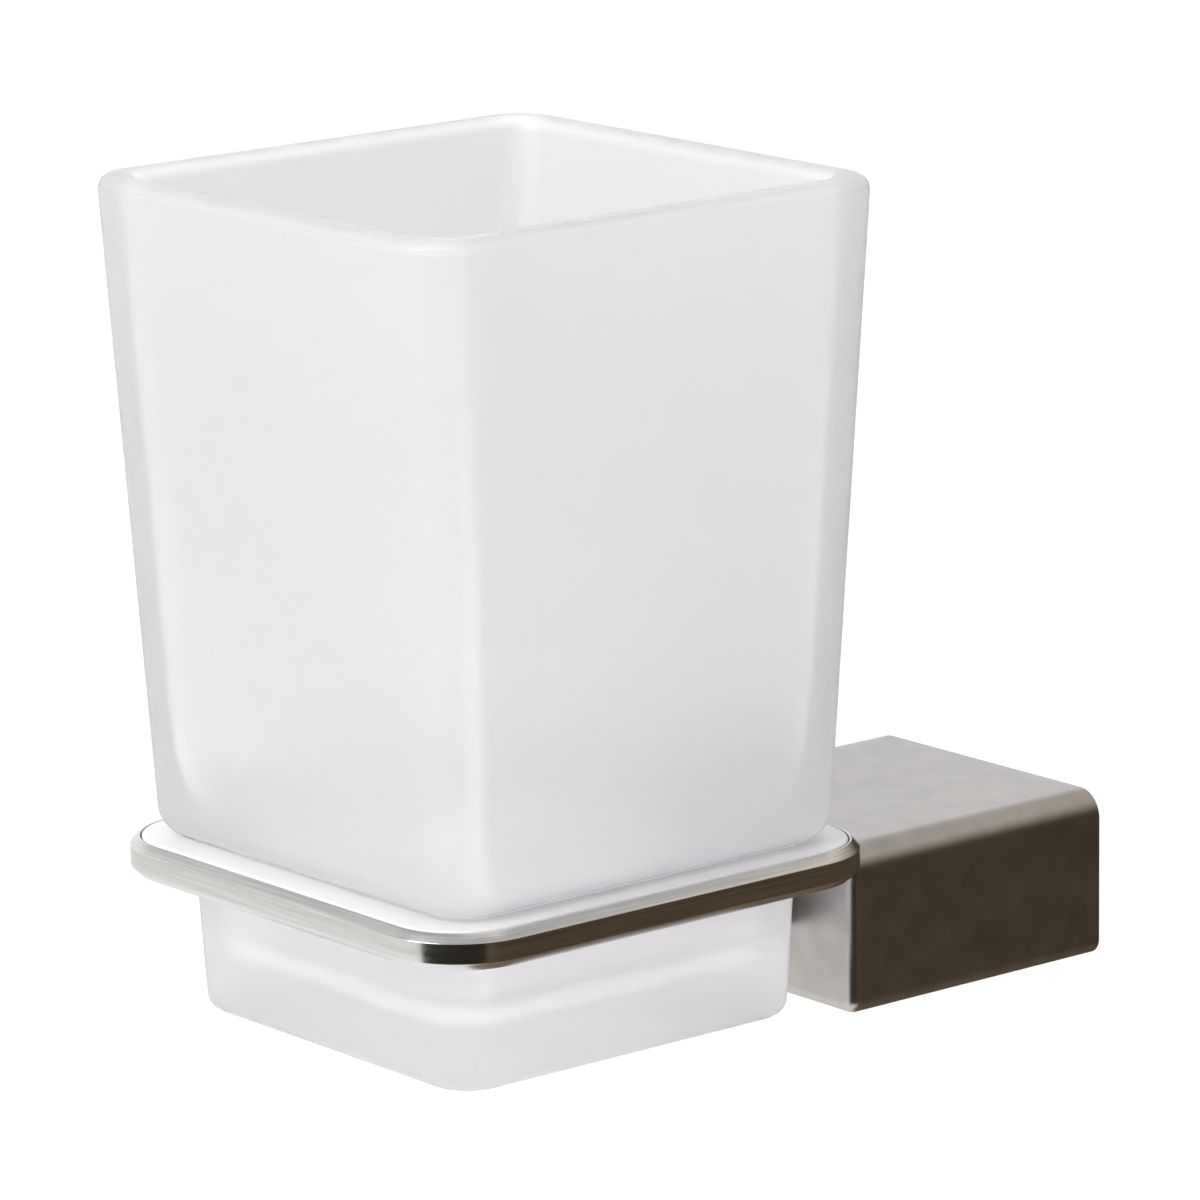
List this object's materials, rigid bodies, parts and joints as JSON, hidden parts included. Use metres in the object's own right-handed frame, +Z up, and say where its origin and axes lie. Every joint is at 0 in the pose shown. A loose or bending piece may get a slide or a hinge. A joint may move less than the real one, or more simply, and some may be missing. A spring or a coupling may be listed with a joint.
{
  "type": "bathroom tumbler",
  "caption": "Square frosted-glass bathroom tumbler that hangs by its shoulder in a plastic-lined metal ring on a box-shaped wall post.",
  "frame": {"origin": "middle of the wall bracket's back face, on the wall and halfway between its two screw holes", "axes": "+Y into the wall, +Z up, +X to the right as seen from the room; the tumbler stands out towards -Y"},
  "size_m": [0.068, 0.1136, 0.1058],
  "materials": {
    "frosted_glass": "acid-frosted",
    "liner_plastic": "translucent",
    "satin_nickel": "satin nickel plate",
    "screw_steel": "plain",
    "bracket_steel": "zinc-plated"
  },
  "bodies": {
    "bracket": {"wall_bracket": "bracket_steel"},
    "post": {"post_housing": "satin_nickel", "holder_ring": "satin_nickel", "ring_screws": "screw_steel", "lock_washers": "screw_steel"},
    "clamp_screw": {"set_screw": "screw_steel"},
    "liner": {"ring_liner": "liner_plastic"},
    "tumbler": {"glass_tumbler": "frosted_glass"}
  },
  "joints": [
    {"name": "post_slide", "type": "slide", "parent": "bracket", "child": "post", "axis": [0, -1, 0], "range_m": [0, 0.025]},
    {"name": "clamp_screw_slide", "type": "slide", "parent": "post", "child": "clamp_screw", "axis": [0, 0, -1], "range_m": [0, 0.003]},
    {"name": "liner_lift", "type": "slide", "parent": "post", "child": "liner", "axis": [0, 0, 1], "range_m": [0, 0.02]},
    {"name": "tumbler_lift", "type": "slide", "parent": "liner", "child": "tumbler", "axis": [0, 0, 1], "range_m": [0, 0.045]}
  ]
}
